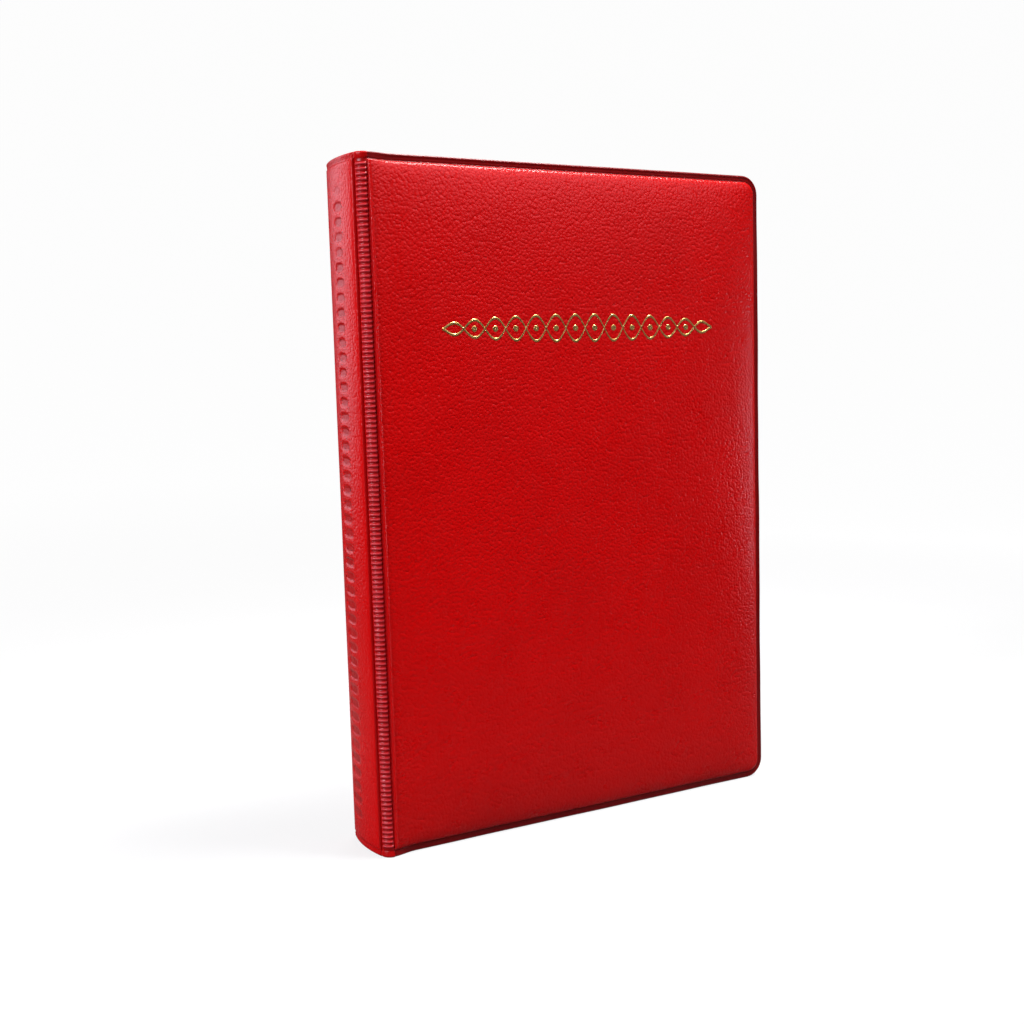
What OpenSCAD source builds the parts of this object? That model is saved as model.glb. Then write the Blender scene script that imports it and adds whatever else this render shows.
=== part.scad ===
// Coin album: a padded, welded PVC case round a coil-bound block of coin pocket leaves.
// It stands on its tail edge: +Z is up, the spine is at -X, the front cover faces -Y.
// The origin is the centre of the footprint. All sizes are in millimetres.

/* [Case] */
// Width from the spine to the fore edge
case_w = 210; // [200:5:240]
// Thickness over both covers
case_d = 40; // [39:1:44]
// Height of the covers
case_h = 297; // [296:1:320]
// How far the middle of the spine stands out past its edges
spine_bulge = 1.8; // [1:0.2:3]
// Radius of the two fore-edge corners of each cover
corner_r = 9; // [5:1:20]
// Width of the flat welded rim round each cover
rim_w = 3; // [2:0.5:5]
// Radius of the soft corner between spine and cover
hinge_r = 5.2; // [5:0.1:6]

/* [Materials] */
// Thickness of the outer PVC skin
skin_t = 0.8; // [0.5:0.1:1]
// Thickness of the padding under each outer skin
foam_t = 1.4; // [1:0.1:1.6]
// Thickness of the greyboard in each cover
board_t = 1.8; // [1.5:0.1:2]
// Thickness of the inner PVC liner
liner_t = 0.6; // [0.4:0.1:0.7]

/* [Coil] */
// Radius of the coil at the middle of its filament
coil_r = 12.5; // [12:0.1:12.6]
// Diameter of the coil's filament
wire_d = 1.8; // [1.5:0.1:2]
// Rise of the coil in one turn
coil_pitch = 6.25; // [6:0.05:6.3]
// Number of holes punched down each leaf
hole_count = 45; // [41:2:45]

/* [Leaves] */
// Thickness of a leaf
leaf_t = 0.8; // [0.7:0.1:1]
// Width of a leaf from its punched edge to its fore edge
leaf_w = 176; // [150:1:176]
// Height of a leaf
leaf_h = 285; // [284:1:287]
// Distance between leaves at the coil
leaf_pitch = 1.3; // [1.1:0.1:1.4]
// Angle between two neighbouring leaves in the closed album
leaf_splay = 0.53; // [0.4:0.01:0.55]
// Angle between two neighbouring leaves with both covers open
leaf_fan = 21.5; // [10:0.5:21.5]
// Pockets across a leaf
pocket_cols = 5; // [3:1:6]
// Pockets down a leaf
pocket_rows = 6; // [4:1:8]
// Width of the weld between two pockets
weld_w = 3; // [2:0.5:4]

/* [Title band] */
// Length of the stamped ornament
title_w = 141; // [80:1:150]
// Height of the stamped ornament
title_h = 13; // [8:1:20]
// Number of waves in the stamped ornament
title_waves = 7; // [4:1:10]

/* [Hidden] */
$fn = 64;
leaf_count = 10;

skin_color = "crimson";
liner_color = "firebrick";
slack = 0.1;                                        // between pieces that are not welded
mid_z = case_h / 2;

// Covers
spine_x = -case_w / 2;                              // the spine's outermost line
fore_x = case_w / 2;                                // fore edge of the covers
cover_x = spine_x + spine_bulge + hinge_r;          // edge of a cover at its hinge strip
tray_t = foam_t + board_t;                          // what lies between a cover's skin and liner
foil_t = 0.05;                                      // thickness of the stamped foil

// Hinge strips: skin and liner welded together, sunk a little below the faces beside them
strip_sink = 0.8;
strip_t = 1;

// Spine
spine_half = case_d / 2 - hinge_r - slack;          // half the spine's width
spine_r = (pow(spine_half, 2) + pow(spine_bulge, 2)) / (2 * spine_bulge);
stiffener_t = 1.5;
stiffener_w = 4.6;
spot_count = hole_count - 1;                        // weld spots down the spine, one to a coil turn
spot_h = 4.2;
spot_w = 10;
spot_depth = 0.3;
spot_y = 1.4;                                       // middle of the row of spots
spot_lean = 4.8;                                    // how far the row's two ends are out of line

// Coil and the tab that holds it
coil_x = -87.5;                                     // axis of the coil, on y = 0
coil_steps = 12;                                    // straight stretches in one turn
wire_sides = 6;
coil_turns = hole_count - 0.08;                     // it ends just short of the tab
crimp = 3;                                          // length of each end, bent in towards the axis
tab_t = 1;
tab_reach = 3.2;                                    // tab past the filament
tab_foot_w = 18;
tab_foot_t = 0.5;
tab_h = leaf_h - 6;
tab_hole = wire_d + 1.4;

// Leaves
middle_leaf = (leaf_count + 1) / 2;
strip_w = 11;                                       // width of a leaf's binding strip
hole_edge = 4.5;                                    // hole's middle to the leaf's inner edge
hole_w = 3.8;
hole_play = 0.35;                                   // slack above and below the filament
film_t = 0.2;                                       // clear film over the pockets
weld_t = 0.25;                                      // weld ribs between film and backing
leaf_corner_r = 3;
cell_w = (leaf_w - strip_w) / pocket_cols;
cell_h = leaf_h / pocket_rows;
mouth_w = cell_w - weld_w - 2;                      // slit that a coin goes in by
mouth_h = 0.8;
mouth_drop = 6;                                     // slit below the weld over its pocket
thumb_r = 5;                                        // half-round notch under the slit

// Title band
title_z = 225;
title_x = 2.6;
strand_w = 1.1;
bead_r = 1.3;

function leaf_number(i) = i < 10 ? str("0", i) : str(i);
function leaf_offset(i) = (i - middle_leaf) * leaf_pitch;
function leaf_tilt(i) = (i - middle_leaf) * leaf_splay;
function leaf_turn(i) = (i - middle_leaf) * leaf_fan;
// Middle of leaf i's holes, from the coil's axis
function hole_x(i) = sqrt(pow(coil_r, 2) - pow(leaf_offset(i), 2));
// Leaf i hangs where the coil stays inside its holes, from the closed album to the open one
function leaf_lift(i) = coil_pitch * (asin(leaf_offset(i) / coil_r) + leaf_tilt(i) + leaf_turn(i) / 2) / 360;
hole_h = wire_d + 2 * hole_play + coil_pitch * abs(leaf_turn(1)) / 360;
function unit(v) = v / norm(v);

// Outline of a cover in (x, z), set in by `inset` on all sides but the hinge side
module cover_outline(inset = 0) {
    r = max(corner_r - inset, 0.5);
    x1 = fore_x - inset;
    h = case_h - 2 * inset;
    translate([cover_x, inset]) square([x1 - r - cover_x, h]);
    translate([x1 - 2 * r, inset + r]) square([2 * r, h - 2 * r]);
    for (z = [inset + r, case_h - inset - r]) translate([x1 - r, z]) circle(r);
}

// A flat layer of the front cover, `depth` below its outer face
module front_layer(depth, t) {
    translate([0, -case_d / 2 + depth + t, 0]) rotate([90, 0, 0]) linear_extrude(t) children();
}

module to_back() {
    mirror([0, 1, 0]) children();
}

// The padding and board fill the space inside the skin
module tray_outline() {
    intersection() {
        cover_outline(rim_w + skin_t + slack);
        translate([cover_x + skin_t + slack, 0]) square([case_w, case_h]);
    }
}

// A raised tray with a flat rim, open towards the liner; its face lies `face_drop` below the case's
module outer_skin(face_drop) {
    color(skin_color) difference() {
        union() {
            front_layer(tray_t, skin_t) cover_outline();
            front_layer(face_drop, tray_t + skin_t - face_drop) cover_outline(rim_w);
        }
        front_layer(skin_t, tray_t + slack) intersection() {
            cover_outline(rim_w + skin_t);
            translate([cover_x + skin_t, 0]) square([case_w, case_h]);
        }
    }
}

module foam_pad() {
    color("ivory") front_layer(skin_t, foam_t) tray_outline();
}

module cover_board() {
    color("tan") front_layer(skin_t + foam_t, board_t) tray_outline();
}

module cover_liner() {
    color(liner_color) front_layer(skin_t + tray_t, liner_t) cover_outline();
}

// One strand of the stamped ornament: a ribbon along a wave that fades at both ends
function strand_y(s, phase) =
    (title_h - strand_w) / 2 * pow(sin(180 * s), 0.4) * sin(360 * title_waves * s + phase);
function strand_edge(phase, side, steps = 96) = [
    for (k = [0 : steps]) [(k / steps - 0.5) * title_w, strand_y(k / steps, phase) + side * strand_w / 2]
];
function reversed(v) = [for (k = [len(v) - 1 : -1 : 0]) v[k]];

module strand(phase) {
    polygon(concat(strand_edge(phase, -1), reversed(strand_edge(phase, 1))));
}

module title_foil() {
    loops = 2 * title_waves;
    color("gold") front_layer(0, foil_t) translate([title_x, title_z]) {
        strand(0);
        strand(180);
        for (k = [1 : loops - 2]) translate([((k + 0.5) / loops - 0.5) * title_w, 0]) circle(bead_r);
    }
}

// Quarter-round band from the spine to the front cover
module hinge_strip() {
    color(skin_color) translate([cover_x, -case_d / 2 + hinge_r, 0]) rotate([0, 0, 180])
        rotate_extrude(angle = 90) translate([hinge_r - strip_sink - strip_t, 0]) square([strip_t, case_h]);
}

// A layer of the rounded spine, `depth` below its outer face, from y0 to y1 and z0 to z1
module spine_layer(depth, t, y0, y1, z0, z1) {
    translate([spine_x + spine_r, 0, 0]) intersection() {
        translate([0, 0, z0]) difference() {
            cylinder(r = spine_r - depth, h = z1 - z0, $fn = 256);
            translate([0, 0, -1]) cylinder(r = spine_r - depth - t, h = z1 - z0 + 2, $fn = 256);
        }
        translate([-2 * spine_r, y0, z0]) cube([2 * spine_r, y1 - y0, z1 - z0]);
    }
}

// A shallow tray like the covers', with a row of spots where the coil's tab is welded on behind
module spine_outer_skin() {
    wall = stiffener_t + 2 * slack;
    color(skin_color) difference() {
        spine_layer(0, skin_t + wall, -spine_half, spine_half, 0, case_h);
        spine_layer(skin_t, wall + 1, skin_t - spine_half, spine_half - skin_t, rim_w, case_h - rim_w);
        for (k = [0 : spot_count - 1]) {
            along = k / (spot_count - 1) - 0.5;
            y = spot_y - along * spot_lean;
            z = mid_z + along * (spot_count - 1) * coil_pitch;
            translate([spine_x - 1, y - spot_w / 2, z - spot_h / 2]) cube([1 + spot_depth, spot_w, spot_h]);
        }
    }
}

module spine_stiffener() {
    y0 = skin_t + slack - spine_half;
    z0 = rim_w + slack;
    color("tan") spine_layer(skin_t + slack, stiffener_t, y0, y0 + stiffener_w, z0, case_h - z0);
}

module spine_liner() {
    color(liner_color) difference() {
        spine_layer(skin_t + stiffener_t + 2 * slack, liner_t, -spine_half, spine_half, 0, case_h);
        translate([spine_x, -tab_t / 2 - slack, mid_z - tab_h / 2 - slack])
            cube([hinge_r, tab_t + 2 * slack, tab_h + 2 * slack]);
    }
}

// A T-shaped strip: its foot is welded to the spine's skin, and its fin is punched for the coil
module coil_tab_strip() {
    z0 = mid_z - tab_h / 2;
    fin_x = spine_x + skin_t + tab_foot_t / 2;
    wire_x = coil_x - coil_r;
    color(liner_color) difference() {
        union() {
            spine_layer(skin_t, tab_foot_t, -tab_foot_w / 2, tab_foot_w / 2, z0, z0 + tab_h);
            translate([fin_x, -tab_t / 2, z0]) cube([wire_x + tab_reach - fin_x, tab_t, tab_h]);
        }
        for (k = [0 : spot_count - 1])
            translate([wire_x, 0, mid_z + (k - (spot_count - 1) / 2) * coil_pitch])
                cube([tab_hole, 2 * tab_t, tab_hole], center = true);
    }
}

// Tube along a path, with a level ring of points round each of its points
module tube(path, r, sides) {
    last = len(path) - 1;
    points = [
        for (k = [0 : last])
            let (along = unit(path[min(k + 1, last)] - path[max(k - 1, 0)]))
            let (side = unit(cross(along, [0, 0, 1])), up = cross(side, along))
            for (j = [0 : sides - 1]) path[k] + r * (cos(360 * j / sides) * side + sin(360 * j / sides) * up)
    ];
    faces = [
        [for (j = [0 : sides - 1]) j],
        for (k = [0 : last - 1], j = [0 : sides - 1])
            let (a = k * sides + j, b = k * sides + (j + 1) % sides)
            each [[a, a + sides, b + sides], [a, b + sides, b]],
        [for (j = [sides - 1 : -1 : 0]) last * sides + j]
    ];
    polyhedron(points, faces);
}

// Point on the right-handed coil after a number of turns from its middle, `inward` of its line
function coil_point(turns, inward) = [
    coil_x + (coil_r - inward) * cos(360 * turns),
    (coil_r - inward) * sin(360 * turns),
    mid_z + coil_pitch * turns
];

module binding_coil() {
    n = round(coil_turns * coil_steps);
    chord_bow = -coil_r * (1 - cos(180 / coil_steps)) / 2;
    color("white") tube([
        coil_point(-coil_turns / 2, crimp),
        for (k = [0 : n]) coil_point((k / n - 0.5) * coil_turns, chord_bow),
        coil_point(coil_turns / 2, crimp)
    ], wire_d / 2, wire_sides);
}

// Puts leaf i, drawn with x from the coil's axis and y from the leaf's own middle, on the coil
module leaf_place(i) {
    translate([coil_x, 0, leaf_lift(i)]) rotate([0, 0, leaf_tilt(i)])
        translate([0, leaf_offset(i), 0]) children();
}

// A layer of a leaf between two depths, drawn in (x, z); the pockets' mouths face -Y
module leaf_layer(y_near, y_far) {
    translate([0, y_far, 0]) rotate([90, 0, 0]) linear_extrude(y_far - y_near) children();
}

// Moves to the lower corner of leaf i's pocket field
module field_corner(i) {
    translate([hole_x(i) - hole_edge + strip_w, mid_z - leaf_h / 2]) children();
}

// The pocket field's outline, rounded at the fore edge
module field_outline() {
    w = leaf_w - strip_w;
    r = leaf_corner_r;
    square([w - r, leaf_h]);
    translate([w - 2 * r, r]) square([2 * r, leaf_h - 2 * r]);
    for (z = [r, leaf_h - r]) translate([w - r, z]) circle(r);
}

module each_pocket() {
    for (c = [0 : pocket_cols - 1], r = [0 : pocket_rows - 1])
        translate([(c + 0.5) * cell_w, (r + 0.5) * cell_h]) children();
}

module pocket_mouth() {
    slit_z = (cell_h - weld_w) / 2 - mouth_drop;
    translate([-mouth_w / 2, slit_z]) square([mouth_w, mouth_h]);
    intersection() {
        translate([0, slit_z]) circle(thumb_r);
        translate([-thumb_r, slit_z - thumb_r]) square([2 * thumb_r, thumb_r + mouth_h / 2]);
    }
}

module leaf_backing(i) {
    color("white") leaf_place(i) leaf_layer(-leaf_t / 2 + film_t + weld_t, leaf_t / 2)
        field_corner(i) field_outline();
}

module leaf_pocket_film(i) {
    near = -leaf_t / 2;
    color("lightcyan") leaf_place(i) {
        leaf_layer(near, near + film_t) field_corner(i) difference() {
            field_outline();
            each_pocket() pocket_mouth();
        }
        leaf_layer(near + film_t, near + film_t + weld_t) field_corner(i) difference() {
            field_outline();
            each_pocket() square([cell_w - weld_w, cell_h - weld_w], center = true);
        }
    }
}

module leaf_binding_strip(i) {
    color("gainsboro") leaf_place(i) leaf_layer(-leaf_t / 2, leaf_t / 2) difference() {
        translate([hole_x(i) - hole_edge, mid_z - leaf_h / 2]) square([strip_w, leaf_h]);
        for (k = [0 : hole_count - 1])
            translate([hole_x(i), mid_z + (k - (hole_count - 1) / 2) * coil_pitch])
                square([hole_w, hole_h], center = true);
    }
}

outer_skin(foil_t);  // front_outer_skin
foam_pad();  // front_foam_pad
cover_board();  // front_board
cover_liner();  // front_liner
title_foil();
to_back() outer_skin(0);  // back_outer_skin
to_back() foam_pad();  // back_foam_pad
to_back() cover_board();  // back_board
to_back() cover_liner();  // back_liner
spine_outer_skin();
spine_stiffener();  // spine_stiffener_front
to_back() spine_stiffener();  // spine_stiffener_back
spine_liner();
hinge_strip();  // front_hinge_strip
to_back() hinge_strip();  // back_hinge_strip
coil_tab_strip();
binding_coil();
for (i = [1 : leaf_count]) {
    leaf_backing(i);
    leaf_pocket_film(i);
    leaf_binding_strip(i);
}
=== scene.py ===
"""Looks of the coin album: padded leatherette covers, ribbed hinges, spotted spine, coil and leaves.

Lengths inside the script are millimetres in the frame's axes; add_mesh() turns them into metres.
The front cover faces -Y, the spine is at -X, and the album stands on z = 0.
"""
import math

import bmesh
import bpy
import numpy as np
from mathutils import Matrix, Vector


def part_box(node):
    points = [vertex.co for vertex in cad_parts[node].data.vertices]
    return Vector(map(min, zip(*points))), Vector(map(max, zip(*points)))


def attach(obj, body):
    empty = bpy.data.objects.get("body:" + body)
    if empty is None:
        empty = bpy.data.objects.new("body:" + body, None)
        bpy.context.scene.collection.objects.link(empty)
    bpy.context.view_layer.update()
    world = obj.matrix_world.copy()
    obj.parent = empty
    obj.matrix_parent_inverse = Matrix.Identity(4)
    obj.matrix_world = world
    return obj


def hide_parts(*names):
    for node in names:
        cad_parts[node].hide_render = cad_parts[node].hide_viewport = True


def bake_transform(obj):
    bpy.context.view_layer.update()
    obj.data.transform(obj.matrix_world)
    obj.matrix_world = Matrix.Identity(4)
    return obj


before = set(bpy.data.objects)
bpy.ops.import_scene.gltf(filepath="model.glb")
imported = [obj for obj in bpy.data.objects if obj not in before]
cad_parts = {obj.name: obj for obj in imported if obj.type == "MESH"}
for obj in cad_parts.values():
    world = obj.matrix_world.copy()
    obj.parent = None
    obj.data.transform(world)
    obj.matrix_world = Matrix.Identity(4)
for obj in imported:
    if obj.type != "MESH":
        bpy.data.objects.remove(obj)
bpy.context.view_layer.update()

MM = 0.001


def mm_box(node):
    low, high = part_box(node)
    return np.array(low) / MM, np.array(high) / MM


# ---------------------------------------------------------------- sizes from the frame
skin_low, skin_high = mm_box("front_outer_skin")
liner_low, _ = mm_box("front_liner")
spine_low, spine_high = mm_box("spine_outer_skin")
coil_low, coil_high = mm_box("binding_coil")
foil_low, foil_high = mm_box("title_foil")
board_low, board_high = mm_box("front_board")

HEIGHT = skin_high[2]
HINGE_X = skin_low[0]                      # edge of both covers at the hinge strips
FORE_X = skin_high[0]
BASE_Y = -liner_low[1]                     # plane where a cover's skin and liner are welded
BOARD_T = board_high[1] - board_low[1]
SPINE_X = spine_low[0]
SPINE_HALF = spine_high[1]

# ---------------------------------------------------------------- sizes the looks share
SKIN_T = 0.8
CORNER_R = 9.0
RIM_W = 3.0
BULGE = 1.8
HINGE_R = 5.2
HINGE_Y = -skin_low[1] + 0.05 - HINGE_R    # centre line of a hinge strip's quarter round
STRIP_T = 1.0
RIB_PITCH = 2.05
RIB_ROWS = 8
SPOTS = 44
SPOT_PITCH = 6.25
SPOT_Y = 1.4
SPOT_LEAN = 4.8


# ---------------------------------------------------------------- mesh helpers
def smoothstep(low, high, value):
    t = np.clip((value - low) / (high - low), 0, 1)
    return t * t * (3 - 2 * t)


def add_mesh(name, points, faces):
    mesh = bpy.data.meshes.new(name)
    mesh.from_pydata((np.asarray(points, float) * MM).tolist(), [], faces)
    mesh.validate()
    tidy = bmesh.new()
    tidy.from_mesh(mesh)
    bmesh.ops.recalc_face_normals(tidy, faces=tidy.faces)
    tidy.to_mesh(mesh)
    tidy.free()
    mesh.polygons.foreach_set("use_smooth", [True] * len(mesh.polygons))
    piece = bpy.data.objects.new(name, mesh)
    bpy.context.scene.collection.objects.link(piece)
    return piece


def slab(name, outer, inner):
    """Closed solid between two grids of points of the same size."""
    rows, columns = outer.shape[:2]
    count = rows * columns

    def at(r, c, side):
        return side * count + r * columns + c

    faces = []
    for r in range(rows - 1):
        for c in range(columns - 1):
            faces.append((at(r, c, 0), at(r, c + 1, 0), at(r + 1, c + 1, 0), at(r + 1, c, 0)))
            faces.append((at(r, c, 1), at(r + 1, c, 1), at(r + 1, c + 1, 1), at(r, c + 1, 1)))
    for r in range(rows - 1):
        for c in (0, columns - 1):
            faces.append((at(r, c, 0), at(r + 1, c, 0), at(r + 1, c, 1), at(r, c, 1)))
    for c in range(columns - 1):
        for r in (0, rows - 1):
            faces.append((at(r, c, 0), at(r, c + 1, 0), at(r, c + 1, 1), at(r, c, 1)))
    points = np.concatenate([outer.reshape(-1, 3), inner.reshape(-1, 3)])
    return add_mesh(name, points, faces)


def tube(name, path, radius, sides):
    """Closed tube along a list of points, with a level ring round each."""
    path = np.asarray(path, float)
    along = np.gradient(path, axis=0)
    along /= np.linalg.norm(along, axis=1)[:, None]
    side = np.cross(along, (0, 0, 1))
    side /= np.linalg.norm(side, axis=1)[:, None]
    up = np.cross(side, along)
    turn = np.arange(sides) * 2 * math.pi / sides
    spokes = np.cos(turn)[:, None] * side[:, None] + np.sin(turn)[:, None] * up[:, None]
    rings = path[:, None] + radius * spokes
    faces = []
    for k in range(len(path) - 1):
        for j in range(sides):
            n = (j + 1) % sides
            faces.append((k * sides + j, k * sides + n, (k + 1) * sides + n, (k + 1) * sides + j))
    faces.append(tuple(range(sides)))
    faces.append(tuple((len(path) - 1) * sides + j for j in range(sides)))
    return add_mesh(name, rings.reshape(-1, 3), faces)


def mark(piece, name, grid):
    """Stores one number per point of a slab, the same on both sides, for the materials."""
    attribute = piece.data.attributes.new(name, "FLOAT", "POINT")
    attribute.data.foreach_set("value", np.concatenate([grid.ravel(), grid.ravel()]).astype(np.float32))


# ---------------------------------------------------------------- materials
class Nodes:
    """A material's node tree, with short calls for the nodes it needs."""

    def __init__(self, name):
        self.material = bpy.data.materials.new(name)
        self.material.use_nodes = True
        self.tree = self.material.node_tree
        self.shader = next(n for n in self.tree.nodes if n.type == "BSDF_PRINCIPLED")
        self.output = next(n for n in self.tree.nodes if n.type == "OUTPUT_MATERIAL")
        self.place = self.add("ShaderNodeTexCoord").outputs["Object"]

    def add(self, kind, inputs=None, **settings):
        node = self.tree.nodes.new(kind)
        for key, value in settings.items():
            setattr(node, key, value)
        for key, value in (inputs or {}).items():
            self.feed(node.inputs[key], value)
        return node

    def feed(self, socket, value):
        if isinstance(value, bpy.types.NodeSocket):
            self.tree.links.new(value, socket)
        else:
            socket.default_value = value

    def set(self, **values):
        for key, value in values.items():
            self.feed(self.shader.inputs[key.replace("_", " ")], value)

    def noise(self, size_mm, detail=3.0, roughness=0.5, stretch=(1, 1, 1)):
        place = self.place
        if stretch != (1, 1, 1):
            place = self.add("ShaderNodeMapping", {"Vector": place, "Scale": stretch}).outputs["Vector"]
        return self.add("ShaderNodeTexNoise", {
            "Vector": place, "Scale": 1 / (size_mm * MM), "Detail": detail, "Roughness": roughness,
        }).outputs["Fac"]

    def cells(self, size_mm):
        inputs = {"Vector": self.place, "Scale": 1 / (size_mm * MM)}
        return self.add("ShaderNodeTexVoronoi", inputs, feature="F1").outputs["Distance"]

    def math(self, operation, a, b):
        node = self.add("ShaderNodeMath", operation=operation)
        self.feed(node.inputs[0], a)
        self.feed(node.inputs[1], b)
        return node.outputs[0]

    def spread(self, value, low, high, to_low=0.0, to_high=1.0):
        return self.add("ShaderNodeMapRange", {
            "Value": value, "From Min": low, "From Max": high, "To Min": to_low, "To Max": to_high,
        }).outputs[0]

    def mix(self, share, a, b):
        node = self.add("ShaderNodeMix", data_type="RGBA")
        self.feed(node.inputs[0], share)
        self.feed(node.inputs[6], a)
        self.feed(node.inputs[7], b)
        return node.outputs[2]

    def attribute(self, name):
        return self.add("ShaderNodeAttribute", attribute_name=name).outputs["Fac"]

    def bump(self, height, depth_mm, strength, under=None):
        inputs = {"Height": height, "Distance": depth_mm * MM, "Strength": strength}
        node = self.add("ShaderNodeBump", inputs)
        if under is not None:
            self.feed(node.inputs["Normal"], under)
        return node.outputs["Normal"]


def leatherette(name, color, weld_color, grain_depth):
    """Soft PVC with a fine pebble grain. One attribute darkens places and takes their grain away: the welded
    rims, and painted shade in the gaps between ribs, in the spine's dimples and beside the hinge strips.

    A second attribute paints rib crests paler, a painted highlight.
    """
    m = Nodes(name)
    weld = m.attribute("weld")
    off_centre = m.cells(1.3)
    pebble = m.math("SUBTRACT", 1.0, m.math("MULTIPLY", off_centre, off_centre))
    fine = m.noise(0.7, 1.0)
    grain = m.math("ADD", m.math("MULTIPLY", pebble, 0.8), m.math("MULTIPLY", fine, 0.35))
    grain = m.math("MULTIPLY", grain, m.spread(weld, 0, 1, 1.0, 0.15))
    tone = m.spread(m.noise(38, 4.0), 0.2, 0.8, 0.0, 1.0)
    paint = m.mix(tone, [c * 0.9 for c in color] + [1], [c * 1.06 for c in color] + [1])
    # Darker where welded; the same darkening is painted shade in rib gaps, spine dimples and beside the hinge
    # strips.
    paint = m.mix(m.math("MULTIPLY", weld, 0.74), paint, list(weld_color) + [1])
    # Painted highlight: rib crests are painted a paler pink.
    paint = m.mix(m.math("MULTIPLY", m.attribute("wear_and_painted_highlight"), 0.6), paint, (0.6, 0.07, 0.085, 1))
    rough = m.spread(m.noise(9, 2.0), 0.1, 0.9, 0.24, 0.34)
    rough = m.math("ADD", rough, m.math("MULTIPLY", weld, 0.05))
    soft = m.bump(m.noise(14, 2.0), 0.25, 0.25)
    m.set(Base_Color=paint, Roughness=rough, Normal=m.bump(grain, grain_depth, 1.0, soft),
          Specular_IOR_Level=0.21)
    return m.material


def plastic_sheet(name, color, rough, wave_mm, depth_mm):
    """Smooth plastic with slow waves, a faint grain and slightly uneven colour and gloss."""
    m = Nodes(name)
    tone = m.spread(m.noise(25, 4.0), 0.3, 0.7, 0.0, 1.0)
    paint = m.mix(tone, [c * 0.93 for c in color] + [1], [min(1.0, c * 1.03) for c in color] + [1])
    roughness = m.spread(m.noise(6, 3.0), 0.3, 0.7, rough * 0.85, rough * 1.15)
    wave = m.bump(m.noise(wave_mm, 2.0), depth_mm, 0.5)
    grain = m.bump(m.noise(0.5, 2.0), 0.02, 0.6, wave)
    m.set(Base_Color=paint, Roughness=roughness, Normal=grain)
    return m.material


def clear_film():
    """Clear, slightly wavy film: what isn't mirrored passes straight through."""
    m = Nodes("clear_film")
    wave = m.bump(m.noise(11, 2.0, stretch=(1, 1, 0.6)), 0.5, 0.45)
    rough = m.spread(m.noise(8, 3.0), 0.3, 0.7, 0.06, 0.16)
    m.set(Base_Color=(0.9, 0.94, 0.96, 1), Roughness=rough, Normal=wave)
    through = m.add("ShaderNodeBsdfTransparent", {"Color": (0.985, 0.99, 0.995, 1)})
    facing = m.add("ShaderNodeLayerWeight", {"Blend": 0.3, "Normal": wave}).outputs["Facing"]
    share = m.spread(facing, 0.0, 1.0, 0.05, 0.24)
    both = m.add("ShaderNodeMixShader", {0: share, 1: through.outputs[0], 2: m.shader.outputs[0]})
    m.tree.links.new(both.outputs[0], m.output.inputs["Surface"])
    return m.material


def gold_foil():
    """Stamped metal foil, rubbed thin in small patches."""
    m = Nodes("gold_foil")
    wear_and_painted_highlight = m.spread(m.noise(1.6, 5.0, 0.65), 0.4, 0.66, 0.0, 1.0)
    paint = m.mix(wear_and_painted_highlight, (0.86, 0.62, 0.22, 1), (0.38, 0.2, 0.05, 1))
    m.set(Base_Color=paint, Metallic=1.0, Roughness=m.spread(wear_and_painted_highlight, 0, 1, 0.24, 0.5),
          Normal=m.bump(m.noise(0.8, 3.0), 0.05, 0.5))
    return m.material


def foam_material():
    m = Nodes("foam")
    pores = m.cells(0.6)
    m.set(Base_Color=m.mix(pores, (0.62, 0.58, 0.46, 1), (0.88, 0.85, 0.76, 1)), Roughness=0.95,
          Normal=m.bump(pores, 0.3, 0.8))
    return m.material


def greyboard_material():
    m = Nodes("greyboard")
    fibre = m.noise(3, 6.0, 0.7, stretch=(1, 1, 0.25))
    paint = m.mix(m.spread(fibre, 0.3, 0.7), (0.3, 0.26, 0.2, 1), (0.48, 0.43, 0.35, 1))
    m.set(Base_Color=paint, Roughness=0.92, Normal=m.bump(fibre, 0.1, 0.5))
    return m.material


# DARK_RED and DARK_LINER_RED go where the skin is welded, and also serve as painted shade in rib gaps, spine
# dimples and beside the hinge strips.
RED = (0.53, 0.0006, 0.0008)
DARK_RED = (0.09, 0.0003, 0.0008)
LINER_RED = (0.36, 0.006, 0.008)
DARK_LINER_RED = (0.12, 0.001, 0.002)
skin_paint = leatherette("red_leatherette", RED, DARK_RED, 0.19)
liner_paint = leatherette("red_liner", LINER_RED, DARK_LINER_RED, 0.06)
tab_paint = plastic_sheet("red_tab", LINER_RED, 0.4, 30, 0.1)
coil_paint = plastic_sheet("coil_plastic", (0.82, 0.82, 0.8), 0.25, 6, 0.05)
sheet_paint = plastic_sheet("white_sheet", (0.86, 0.86, 0.84), 0.45, 35, 0.3)
strip_paint = plastic_sheet("strip_plastic", (0.74, 0.76, 0.77), 0.3, 20, 0.1)
film_paint = clear_film()
foil_paint = gold_foil()
foam_paint = foam_material()
board_paint = greyboard_material()


def finish_piece(piece, material, slot, body, *nodes):
    piece.data.materials.clear()
    piece.data.materials.append(material)
    if body:
        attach(piece, body)
    if nodes:
        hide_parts(*nodes)
    return piece


def repaint(node, material):
    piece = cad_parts[node]
    piece.data.materials.clear()
    piece.data.materials.append(material)


# ---------------------------------------------------------------- covers
# Lines of a cover's grid: close together at the welded rim and at the hinge, wide apart between.
RIM_LINES = [0, .12, .3, .55, .85, 1.2, 1.6, 2, 2.35, 2.65, 2.9, 3.05, 3.2, 3.35, 3.55, 3.8, 4.2, 4.8,
             5.8, 7.2, 9]
HINGE_LINES = [0, .1, .25, .45, .7, 1, 1.35, 1.75, 2.3, 3.1, 4.3, 6.2, 9]
GRID_STEP = 3.0

PANEL_H = 2.62
RIM_H = 0.76
CROWN = 3.0
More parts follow.
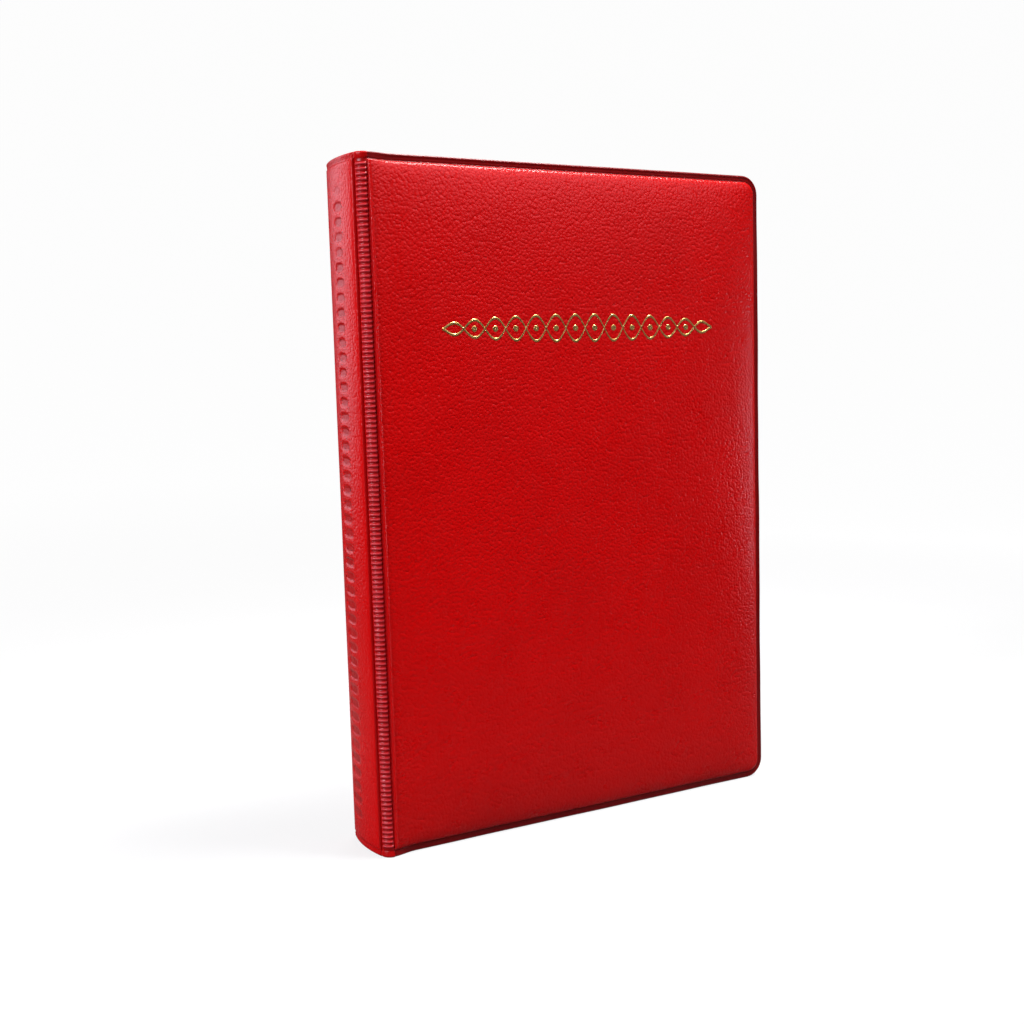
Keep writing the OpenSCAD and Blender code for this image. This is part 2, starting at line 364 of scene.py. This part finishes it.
# Height above the weld plane at a distance from the outline: rounded edge, bead, rim, weld groove, wall.
RIM_SHAPE = (
    [0, .12, .3, .55, .85, 1.2, 1.6, 2.35, 2.65, 2.9, 3.05, 3.2, 3.35, 3.55, 3.8, 4.2, 4.8, 5.8, 7.2, 9],
    [.25, .62, .85, 1.0, .98, .82, RIM_H, .74, .64, .6, .78, 1.2, 1.6, 1.92, 2.12, 2.3, 2.42, 2.53, 2.6,
     PANEL_H])
# The same at the hinge side, where the panel ends in a small bead.
HINGE_SHAPE = (HINGE_LINES, [2.45, 2.95, 3.3, 3.55, 3.65, 3.55, 3.3, 3.15, 3.1, 3.05, 2.95, 2.75, PANEL_H])
HINGE_REACH = HINGE_LINES[-1]


def spread_lines(start, end):
    count = round((end - start) / GRID_STEP)
    return list(np.linspace(start, end, count + 1)[1:-1])


def cover_grid():
    """x, z, distance to the welded outline and distance to the hinge side, over a cover."""
    reach = RIM_LINES[-1]
    xs = [HINGE_X + u for u in HINGE_LINES]
    xs += spread_lines(xs[-1], FORE_X - reach) + [FORE_X - d for d in reversed(RIM_LINES)]
    zs = list(RIM_LINES) + spread_lines(reach, HEIGHT - reach) + [HEIGHT - d for d in reversed(RIM_LINES)]
    x, z = np.meshgrid(xs, zs)
    fore, tail, head = FORE_X - x, z.copy(), HEIGHT - z
    distance = np.minimum(np.minimum(fore, tail), head)
    # The two fore-edge corners: the square of side CORNER_R becomes a quarter disc.
    a = 1 - fore / CORNER_R
    for edge, centre_z, way in ((tail, CORNER_R, -1), (head, HEIGHT - CORNER_R, 1)):
        b = 1 - edge / CORNER_R
        corner = (a > 0) & (b > 0)
        r = np.maximum(a, b)
        low_half = math.pi / 4 * b / np.maximum(a, 1e-9)
        high_half = math.pi / 2 - math.pi / 4 * a / np.maximum(b, 1e-9)
        angle = np.where(a >= b, low_half, high_half)
        x = np.where(corner, FORE_X - CORNER_R + CORNER_R * r * np.cos(angle), x)
        z = np.where(corner, centre_z + way * CORNER_R * r * np.sin(angle), z)
        distance = np.where(corner, CORNER_R * (1 - r), distance)
    return x, z, distance, x - HINGE_X


def ease(value, reach):
    return 1 - np.exp(-np.clip(value, 0, None) / reach)


def cover_height(x, z, distance, hinge):
    """Height of a cover's padded face above the weld plane."""
    rise = np.interp(distance, *RIM_SHAPE)
    panel = np.clip((rise - RIM_H) / (PANEL_H - RIM_H), 0, 1)
    at_hinge = np.where(hinge < HINGE_REACH, np.interp(hinge, *HINGE_SHAPE) - PANEL_H, 0)
    rim_lift = (1 - smoothstep(0, 11, hinge)) * 2.1
    crown = CROWN * ease(FORE_X - x - RIM_W, 11) * ease(z - RIM_W, 15) * ease(HEIGHT - RIM_W - z, 15)
    crown *= 0.4 + 0.6 * ease(hinge - 2, 17)
    ripple = 0.06 * np.sin(x / 23 + 1.3) * np.sin(z / 31 + 0.4) + 0.035 * np.sin(x / 12.5 + z / 19 + 2.1)
    wave = 0.12 * np.sin((x + z) / 17 + 0.7) + 0.07 * np.sin((x - z) / 6.5)
    on_rim = rim_lift + wave * smoothstep(0, 12, hinge)
    return rise + panel * (at_hinge + crown + ripple) + (1 - panel) * on_rim


def cover_point(x, height, z, side):
    return np.stack([x, side * (BASE_Y + height), z], axis=-1)


def welded(distance):
    """1 on the welded rim, 0 on the panel."""
    return 1 - smoothstep(2.9, 3.7, distance)


def outer_skin(name, side):
    x, z, distance, hinge = cover_grid()
    height = cover_height(x, z, distance, hinge)
    hollow = (distance > 3.4) & (hinge > 0.8)
    inside = np.where(hollow, height - SKIN_T, 0)
    piece = slab(name, cover_point(x, height, z, side), cover_point(x, inside, z, side))
    # The welded rim is darker, partly pressed PVC and partly painted shade under the rim; the edge beside the
    # hinge strip gets painted shade.
    near_hinge = 0.8 * (1 - smoothstep(0.1, 0.5, hinge))
    weld = np.maximum(welded(distance), near_hinge)
    mark(piece, "weld", weld)
    return piece


def foam_pad(name, side):
    x, z, distance, hinge = cover_grid()
    padded = (distance > 4.1) & (hinge > 1.3)
    part = np.ix_(np.any(padded, axis=1), np.any(padded, axis=0))
    height = cover_height(x, z, distance, hinge)[part]
    top = np.maximum(height - SKIN_T - 0.05, BOARD_T + 0.1)
    bottom = np.full_like(top, BOARD_T + 0.02)
    return slab(name, cover_point(x[part], top, z[part], side), cover_point(x[part], bottom, z[part], side))


def cover_liner(name, side):
    x, z, distance, hinge = cover_grid()
    edge = np.minimum(distance, hinge + 1.2)
    thickness = np.interp(edge, [0, .12, .3, 2.35, 2.65, 2.9, 3.2, 3.8, 6],
                          [.3, .5, .6, .6, .5, .42, .52, .62, .66])
    ripple = 0.05 * np.sin(x / 31 + 0.3) * np.sin(z / 27) * smoothstep(3, 20, edge)
    inside = thickness + ripple
    piece = slab(name, cover_point(x, -inside, z, side), cover_point(x, np.zeros_like(x), z, side))
    weld = (1 - smoothstep(2.5, 3.4, edge)) * 0.7
    mark(piece, "weld", weld)
    return piece


for cover, side in (("front", -1), ("back", 1)):
    body = cover + "_cover"
    skin = finish_piece(outer_skin(cover + "_padded_skin", side), skin_paint, "red_leatherette", body,
                        cover + "_outer_skin")
    pad = finish_piece(foam_pad(cover + "_foam_sheet", side), foam_paint, "foam", body, cover + "_foam_pad")
    finish_piece(cover_liner(cover + "_liner_sheet", side), liner_paint, "red_liner", body, cover + "_liner")
    repaint(cover + "_board", board_paint)
    repaint("spine_stiffener_" + cover, board_paint)


# ---------------------------------------------------------------- hinge strips
def hinge_rows():
    """Heights of a strip's rows, and the share of a rib's crest that each row has."""
    first = RIM_W + 0.6
    ribs = int((HEIGHT - 2 * first) / RIB_PITCH)
    start = (HEIGHT - ribs * RIB_PITCH) / 2
    inner = start + np.arange(ribs * RIB_ROWS + 1) * RIB_PITCH / RIB_ROWS
    crest = (0.5 - 0.5 * np.cos((inner - start) * 2 * math.pi / RIB_PITCH)) ** 1.15
    edge = np.array([0, .15, .4, .8, 1.3, 1.8, 2.3, 2.6, 2.9, 3.2])
    z = np.concatenate([edge, inner, HEIGHT - edge[::-1]])
    return z, np.concatenate([0 * edge, crest, 0 * edge])


def hinge_strip(name, side):
    z, crest = hinge_rows()
    turn = np.radians([178.5, 183, 187, 191, 195, 198, 201, 205, 211, 219, 228, 237, 246, 254, 259, 263,
                       266, 269, 271.5])
    angle, z = np.meshgrid(turn, z)
    crest = np.repeat(crest[:, None], len(turn), axis=1)
    degrees = np.degrees(angle)
    floor = HINGE_R - 1.12
    ribbed = smoothstep(196, 201, degrees) * (1 - smoothstep(262, 267, degrees))
    groove = 1 - smoothstep(190, 199, degrees)
    edge = np.minimum(z, HEIGHT - z)
    rim = 1 - smoothstep(2.6, 3.0, edge)
    bead = np.exp(-((edge - 0.75) / 0.35) ** 2)
    varied = 1 + 0.16 * np.sin(z / 3.3) + 0.12 * np.sin(z / 11 + 1)
    out = floor + 0.5 * crest * ribbed * varied - 0.25 * groove * (1 - rim) + 0.2 * bead + 0.3 * rim
    out -= 0.25 * np.exp(-((edge - 2.6) / 0.3) ** 2)
    out -= 0.4 * (1 - smoothstep(0, 0.3, edge))
    centre_y = side * HINGE_Y

    def ring(radius):
        x = HINGE_X + radius * np.cos(angle)
        return np.stack([x, centre_y - side * radius * np.sin(angle), z], axis=-1)

    piece = slab(name, ring(out), ring(np.full_like(out, floor - STRIP_T)))
    # Painted shade in the gaps between ribs and on the strip's plain margins; the welded ends are darker too.
    weld = 0.85 * ribbed * (1 - crest) ** 1.5 + 0.4 * (1 - ribbed)
    weld = np.maximum(weld * (1 - rim), 0.3 * rim)
    mark(piece, "weld", weld)
    # Painted highlight: rib crests are painted paler.
    wear_and_painted_highlight = crest ** 2 * ribbed
    mark(piece, "wear_and_painted_highlight", wear_and_painted_highlight)
    return piece


for cover, side in (("front", -1), ("back", 1)):
    strip = finish_piece(hinge_strip(cover + "_ribbed_hinge", side), skin_paint, "red_leatherette", None,
                         cover + "_hinge_strip")
    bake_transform(strip)


# ---------------------------------------------------------------- spine
def spine_arc(y, depth):
    """x of the rounded spine, `depth` below its outer face."""
    radius = (SPINE_HALF ** 2 + BULGE ** 2) / (2 * BULGE)
    return SPINE_X + radius - np.sqrt((radius - depth) ** 2 - y ** 2)


def weld_spots(y, z):
    """Depth of the row of weld spots, each a soft-edged rounded oblong."""
    rng = np.random.default_rng(7)
    depth = np.zeros_like(y)
    for k in range(SPOTS):
        along = k / (SPOTS - 1) - 0.5
        mid_z = HEIGHT / 2 + along * (SPOTS - 1) * SPOT_PITCH
        drift = 7.2 * max(0, -along - 0.2)
        mid_y = SPOT_Y - along * SPOT_LEAN + drift + rng.uniform(-0.25, 0.25)
        half_w = 5.2 - 2.2 * along + rng.uniform(-0.35, 0.35)
        half_h = 2.15 + rng.uniform(-0.12, 0.12)
        deep = 0.45 * (0.4 if k == SPOTS - 1 else rng.uniform(0.8, 1.1))
        t = (np.abs((y - mid_y) / half_w) ** 3 + np.abs((z - mid_z) / half_h) ** 3) ** (1 / 3)
        depth = np.maximum(depth, deep * (1 - smoothstep(0.62, 1.12, t)))
    return depth


def spine_skin():
    side_lines = [0, .08, .2, .4, .7, 1.1, 1.6, 2.3, 3.2]
    lines = [SPINE_HALF - d for d in side_lines]
    across = list(np.linspace(-lines[-1], lines[-1], 40)[1:-1])
    y = np.array([-v for v in lines] + across + lines[::-1])
    rim_lines = [0, .12, .3, .6, .95, 1.4, 1.9, 2.2, 2.5, 2.8, 3.1, 3.5, 4.1, 5]
    upward = list(np.linspace(5, HEIGHT - 5, 560)[1:-1])
    z = np.array(rim_lines + upward + [HEIGHT - d for d in rim_lines[::-1]])
    y, z = np.meshgrid(y, z)
    edge = np.minimum(z, HEIGHT - z)
    side = SPINE_HALF - np.abs(y)
    sunk = np.interp(edge, rim_lines, [.95, .65, .45, .32, .34, .5, .55, .62, .66, .5, .25, .1, .03, 0])
    roll = np.interp(side, side_lines, [.95, .62, .42, .25, .12, .05, .02, 0, 0])
    wander = 0.06 * np.sin(z / 37) * np.cos(y / 9) + 0.04 * np.sin(z / 13 + y / 5)
    rimmed = 1 - smoothstep(2.9, 3.4, edge)
    spots = weld_spots(y, z)
    depth = np.maximum(sunk, roll) + spots + wander * (1 - rimmed) * smoothstep(0, 2, side)
    wall = (edge < RIM_W) | (side < SKIN_T)
    deep = np.where(wall, SKIN_T + 1.7, SKIN_T)
    piece = slab("spine_spotted_skin", np.stack([spine_arc(y, depth), y, z], axis=-1),
                 np.stack([spine_arc(y, deep), y, z], axis=-1))
    # Painted shade in the weld spots' dimples and along the edges beside the hinge strips; the welded rims
    # are darker too.
    weld = np.maximum(rimmed * 0.2, np.clip(spots * 1.1, 0, 0.6))
    weld = np.maximum(weld, 0.5 * (1 - smoothstep(0.1, 0.5, side)))
    mark(piece, "weld", weld)
    return piece


finish_piece(spine_skin(), skin_paint, "red_leatherette", "spine", "spine_outer_skin")
repaint("spine_liner", liner_paint)
repaint("coil_tab_strip", tab_paint)


# ---------------------------------------------------------------- coil
COIL_WIRE = 1.8
COIL_R = (coil_high[1] - coil_low[1]) / 2 - COIL_WIRE / 2 - 0.2
COIL_X = (coil_low[0] + coil_high[0]) / 2
COIL_PITCH = 6.25
COIL_TURNS = 44.92
COIL_STEPS = 40                            # points to a turn
CRIMP = 3.0


def coil_path():
    steps = round(COIL_TURNS * COIL_STEPS)
    turns = (np.arange(steps + 1) / steps - 0.5) * COIL_TURNS
    angle = turns * 2 * math.pi
    path = np.stack([COIL_X + COIL_R * np.cos(angle), COIL_R * np.sin(angle),
                     HEIGHT / 2 + COIL_PITCH * turns], axis=-1)
    axis = np.array([COIL_X, 0, 0])
    ends = []
    for point in (path[0], path[-1]):
        inward = axis - point
        inward[2] = 0
        inward /= np.linalg.norm(inward)
        ends.append([point + inward * CRIMP * s for s in (0.25, 0.6, 1.0)])
    return np.concatenate([ends[0][::-1], path, ends[1]])


coil = tube("spiral_coil", coil_path(), COIL_WIRE / 2, 12)
finish_piece(coil, coil_paint, "coil_plastic", "spine", "binding_coil")


# ---------------------------------------------------------------- leaves
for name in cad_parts:
    if name.startswith("leaf_"):
        kind = name.split("_", 2)[2]
        repaint(name, {"backing": sheet_paint, "pocket_film": film_paint, "binding_strip": strip_paint}[kind])


# ---------------------------------------------------------------- stamped ornament
def face_height(x, z):
    x, z = np.asarray(x, float), np.asarray(z, float)
    distance = np.minimum(np.minimum(FORE_X - x, z), HEIGHT - z)
    return cover_height(x, z, distance, x - HINGE_X)


def stamped(points_x, points_z):
    """A flat drawing laid on the front cover's padded face: top and bottom of a thin raised film."""
    height = face_height(points_x, points_z)
    top = cover_point(points_x, height + 0.05, points_z, -1)
    bottom = cover_point(points_x, height - 0.05, points_z, -1)
    return top, bottom


def ornament():
    mid_x, mid_z = (foil_low[0] + foil_high[0]) / 2, (foil_low[2] + foil_high[2]) / 2
    length, tall = foil_high[0] - foil_low[0], foil_high[2] - foil_low[2]
    waves, stroke, bead = 7, 1.1, 1.3
    pieces = []
    s = np.linspace(0, 1, 281)
    across = np.linspace(-0.5, 0.5, 4)
    for phase in (0, math.pi):
        swing = (tall - stroke) / 2 * np.sin(math.pi * s) ** 0.4 * np.sin(2 * math.pi * waves * s + phase)
        x, lift = np.meshgrid(mid_x + (s - 0.5) * length, across * stroke)
        pieces.append(slab("strand", *stamped(x, mid_z + swing[None] + lift)))
    for k in range(1, 2 * waves - 1):
        centre = mid_x + ((k + 0.5) / (2 * waves) - 0.5) * length
        radius, turn = np.meshgrid(np.linspace(0.02, bead, 5), np.linspace(0, 2 * math.pi, 25))
        pieces.append(slab("bead", *stamped(centre + radius * np.cos(turn), mid_z + radius * np.sin(turn))))
    joined = bmesh.new()
    for piece in pieces:
        joined.from_mesh(piece.data)
        bpy.data.objects.remove(piece)
    bmesh.ops.remove_doubles(joined, verts=joined.verts, dist=1e-6)
    mesh = bpy.data.meshes.new("stamped_ornament")
    joined.to_mesh(mesh)
    joined.free()
    band = bpy.data.objects.new("stamped_ornament", mesh)
    bpy.context.scene.collection.objects.link(band)
    return band


finish_piece(ornament(), foil_paint, "gold_foil", "front_cover", "title_foil")


# ---------------------------------------------------------------- stage, lights and camera
AMBIENT = 0.09                             # strength of the surroundings, except straight to the camera
COOL = (0.9, 0.86, 1.0)
CAMERA_ANGLES = (-28.3, 6.13, -1.65)       # azimuth, elevation and roll, in degrees
CAMERA_PLACE = (-0.297, -0.504, 0.204)     # metres


def stage_material():
    """Pale paper that the camera sees as white as in a cut-out, and that bounces only a little light."""
    m = Nodes("pale_stage")
    seen = m.add("ShaderNodeLightPath").outputs["Is Camera Ray"]
    away = m.add("ShaderNodeVectorMath", {0: m.place}, operation="LENGTH").outputs["Value"]
    glow = m.math("MULTIPLY", seen, m.spread(away, 0.2, 1.0, 0.8, 0.97))
    m.set(Base_Color=m.mix(m.noise(60, 3.0), (0.12, 0.12, 0.12, 1), (0.135, 0.135, 0.133, 1)), Roughness=0.9,
          Specular_IOR_Level=0.1, Emission_Color=(1, 1, 1, 1), Emission_Strength=glow)
    return m.material


def cyclorama():
    """Pale floor that curves up into a pale wall on the far side of the album."""
    half, back, radius, top = 3200, 1500, 900, 3000
    profile = [(-2600, -0.1), (back - radius, -0.1)]
    profile += [(back - radius + radius * math.sin(a), radius * (1 - math.cos(a)) - 0.1)
                for a in np.linspace(0, math.pi / 2, 14)[1:]]
    profile += [(back, top)]
    y, z = np.array(profile).T
    x = np.linspace(-half, half, 9)
    rows, columns = len(x), len(y)
    grid = np.stack([np.repeat(x[:, None], columns, 1), np.repeat(y[None], rows, 0),
                     np.repeat(z[None], rows, 0)], axis=-1)
    faces = [(r * columns + c, r * columns + c + 1, (r + 1) * columns + c + 1, (r + 1) * columns + c)
             for r in range(rows - 1) for c in range(columns - 1)]
    wall = add_mesh("cyclorama", grid.reshape(-1, 3), faces)
    wall.data.materials.append(stage_material())


def area_light(name, place, aim, size, power, spread, color=(1, 1, 1)):
    lamp = bpy.data.lights.new(name, "AREA")
    lamp.shape = "RECTANGLE"
    lamp.size, lamp.size_y = size
    lamp.energy = power
    lamp.spread = math.radians(spread)
    lamp.color = color
    lamp_object = bpy.data.objects.new(name, lamp)
    bpy.context.scene.collection.objects.link(lamp_object)
    lamp_object.location = place
    lamp_object.rotation_mode = "QUATERNION"
    lamp_object.rotation_quaternion = (Vector(aim) - Vector(place)).to_track_quat("-Z", "Y")


def studio_world():
    """Dim grey surroundings that the camera itself sees as white."""
    world = bpy.data.worlds.new("studio")
    world.use_nodes = True
    sky = world.node_tree
    seen = sky.nodes.new("ShaderNodeLightPath")
    strength = sky.nodes.new("ShaderNodeMapRange")
    strength.inputs["To Min"].default_value = AMBIENT
    strength.inputs["To Max"].default_value = 1.0
    sky.links.new(seen.outputs["Is Camera Ray"], strength.inputs["Value"])
    sky.links.new(strength.outputs["Result"], sky.nodes["Background"].inputs["Strength"])
    sky.nodes["Background"].inputs["Color"].default_value = (1, 1, 1, 1)
    bpy.context.scene.world = world


def photo_camera():
    azimuth, elevation, roll = (math.radians(angle) for angle in CAMERA_ANGLES)
    flat = math.cos(elevation)
    back = Vector((math.sin(azimuth) * flat, -math.cos(azimuth) * flat, math.sin(elevation)))
    level = Vector((math.cos(azimuth), math.sin(azimuth), 0))
    right = level * math.cos(roll) + back.cross(level) * math.sin(roll)
    data = bpy.data.cameras.new("photo_camera")
    data.sensor_width = 36
    data.lens = 44.1
    camera = bpy.data.objects.new("photo_camera", data)
    bpy.context.scene.collection.objects.link(camera)
    turn = Matrix((right, back.cross(right), back)).transposed().to_4x4()
    camera.matrix_world = Matrix.Translation(CAMERA_PLACE) @ turn
    bpy.context.scene.camera = camera


cyclorama()
area_light("left_key", (-1.75, -1.15, 1.2), (0, 0, 0.1), (0.5, 0.5), 0.15, 40)
area_light("left_box", (-1.15, -0.3, 0.75), (-0.1, 0, 0.22), (0.3, 0.6), 1.6, 45, COOL)
area_light("spine_sheen", (-0.57, 0.85, 0.4), (-0.1, 0, 0.12), (0.55, 0.75), 0.46, 60, COOL)
area_light("right_soft", (0.62, -1.0, 0.95), (0, 0, 0.08), (0.6, 0.8), 0.7, 60, COOL)
area_light("top_key", (0.5, -0.32, 1.6), (0, 0, 0.2), (0.5, 0.4), 3.1, 45)
area_light("right_strip", (0.95, -0.42, 0.06), (0.1, 0, 0.1), (0.12, 0.3), 0.17, 60, COOL)
area_light("back_fill", (0.6, 1.1, 1.5), (0, 0, 0.15), (0.7, 0.5), 1.6, 60)
area_light("overhead", (0.35, 0.3, 1.6), (0.35, 0.2, 0), (0.7, 0.7), 0.4, 50)
studio_world()
photo_camera()
bpy.context.scene.view_settings.view_transform = "Standard"
